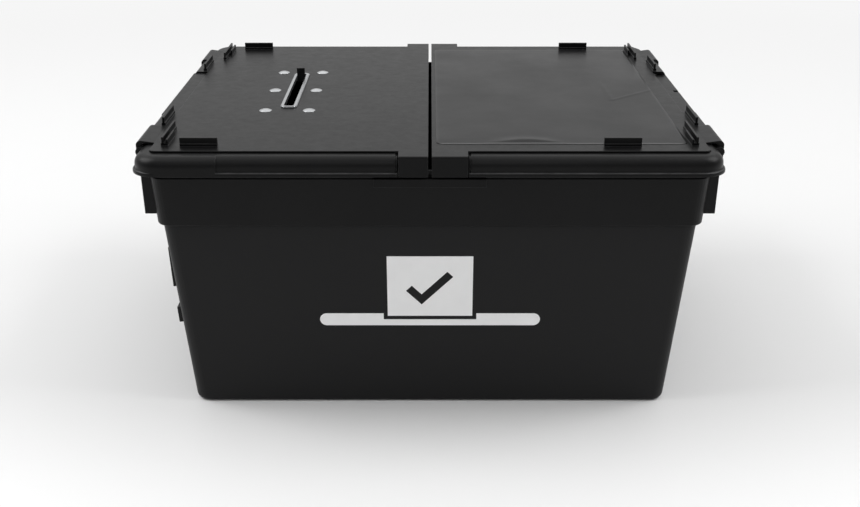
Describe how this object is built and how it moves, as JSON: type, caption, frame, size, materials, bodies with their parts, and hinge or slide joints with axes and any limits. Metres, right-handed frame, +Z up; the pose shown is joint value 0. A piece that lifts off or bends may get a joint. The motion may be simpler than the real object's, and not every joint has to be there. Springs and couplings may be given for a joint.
{
  "type": "ballot box",
  "caption": "Deep moulded ballot box with hinged half lids that fold outward, a metal-rimmed slot in one lid and a sliding shutter under it.",
  "frame": {"origin": "centre of the base on the floor, under the middle of the bounding box", "axes": "+X to the right end, -Y to the front wall with the sign, +Z up; the slot is in the left lid, at -X"},
  "size_m": [0.61, 0.508, 0.3165],
  "materials": {
    "tub_plastic": "black moulded polypropylene, satin with a fine grain",
    "lid_plastic": "black moulded polypropylene, a little glossier on top",
    "pin_steel": "drawn steel rod",
    "slot_metal": "bright satin metal",
    "rail_metal": "folded sheet metal",
    "shutter_metal": "black painted sheet metal",
    "film": "thin dark glossy film, creased",
    "sign_white": "white vinyl"
  },
  "bodies": {
    "tub": {"tub": "tub_plastic", "left_front_hinge_pin": "pin_steel", "left_rear_hinge_pin": "pin_steel", "right_front_hinge_pin": "pin_steel", "right_rear_hinge_pin": "pin_steel", "front_sign": "sign_white"},
    "left_lid": {"left_lid": "lid_plastic", "slot_bezel": "slot_metal", "left_guide_rail": "rail_metal", "right_guide_rail": "rail_metal", "slot_rivets": "slot_metal"},
    "right_lid": {"right_lid": "lid_plastic", "document_film": "film"},
    "shutter": {"slot_shutter": "shutter_metal"}
  },
  "joints": [
    {"name": "left_lid_hinge", "type": "hinge", "parent": "tub", "child": "left_lid", "pos_m": [-0.3, 0, 0.295], "axis": [0, -1, 0], "range_deg": [0, 225]},
    {"name": "right_lid_hinge", "type": "hinge", "parent": "tub", "child": "right_lid", "pos_m": [0.3, 0, 0.295], "axis": [0, 1, 0], "range_deg": [0, 225]},
    {"name": "shutter_slide", "type": "slide", "parent": "left_lid", "child": "shutter", "axis": [0, -1, 0], "range_m": [0, 0.1305]}
  ]
}
